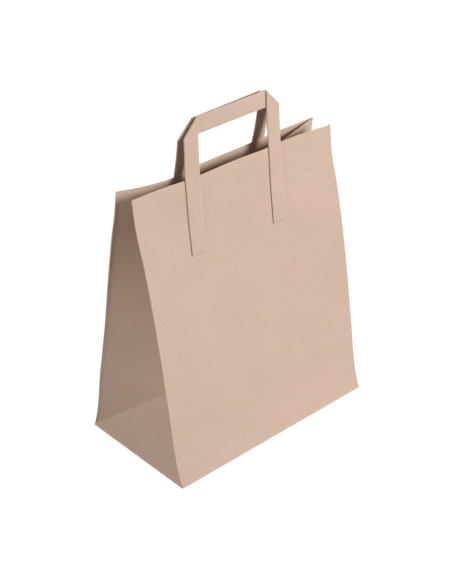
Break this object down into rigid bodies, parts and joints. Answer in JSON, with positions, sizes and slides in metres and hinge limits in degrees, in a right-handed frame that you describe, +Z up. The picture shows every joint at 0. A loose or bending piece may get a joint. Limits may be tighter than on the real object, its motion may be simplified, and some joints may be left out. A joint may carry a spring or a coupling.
{
  "type": "paper carrier bag",
  "caption": "Kraft paper carrier bag standing open, with a block bottom, pleated side gussets folded in towards the mouth, and flat paper tape handles glued to its wide panels",
  "frame": {"origin": "middle of the base, on the surface that the bag stands on", "axes": "+Z up, X along the wide panels, the front panel faces -Y"},
  "size_m": [0.25, 0.14, 0.3419],
  "materials": {
    "kraft_sheet": "uncoated brown kraft paper, matte, with fine fibres",
    "kraft_tape": "folded brown kraft paper tape, matte"
  },
  "bodies": {
    "root": {"bag_body": "kraft_sheet", "front_handle": "kraft_tape", "back_handle": "kraft_tape"}
  },
  "joints": []
}
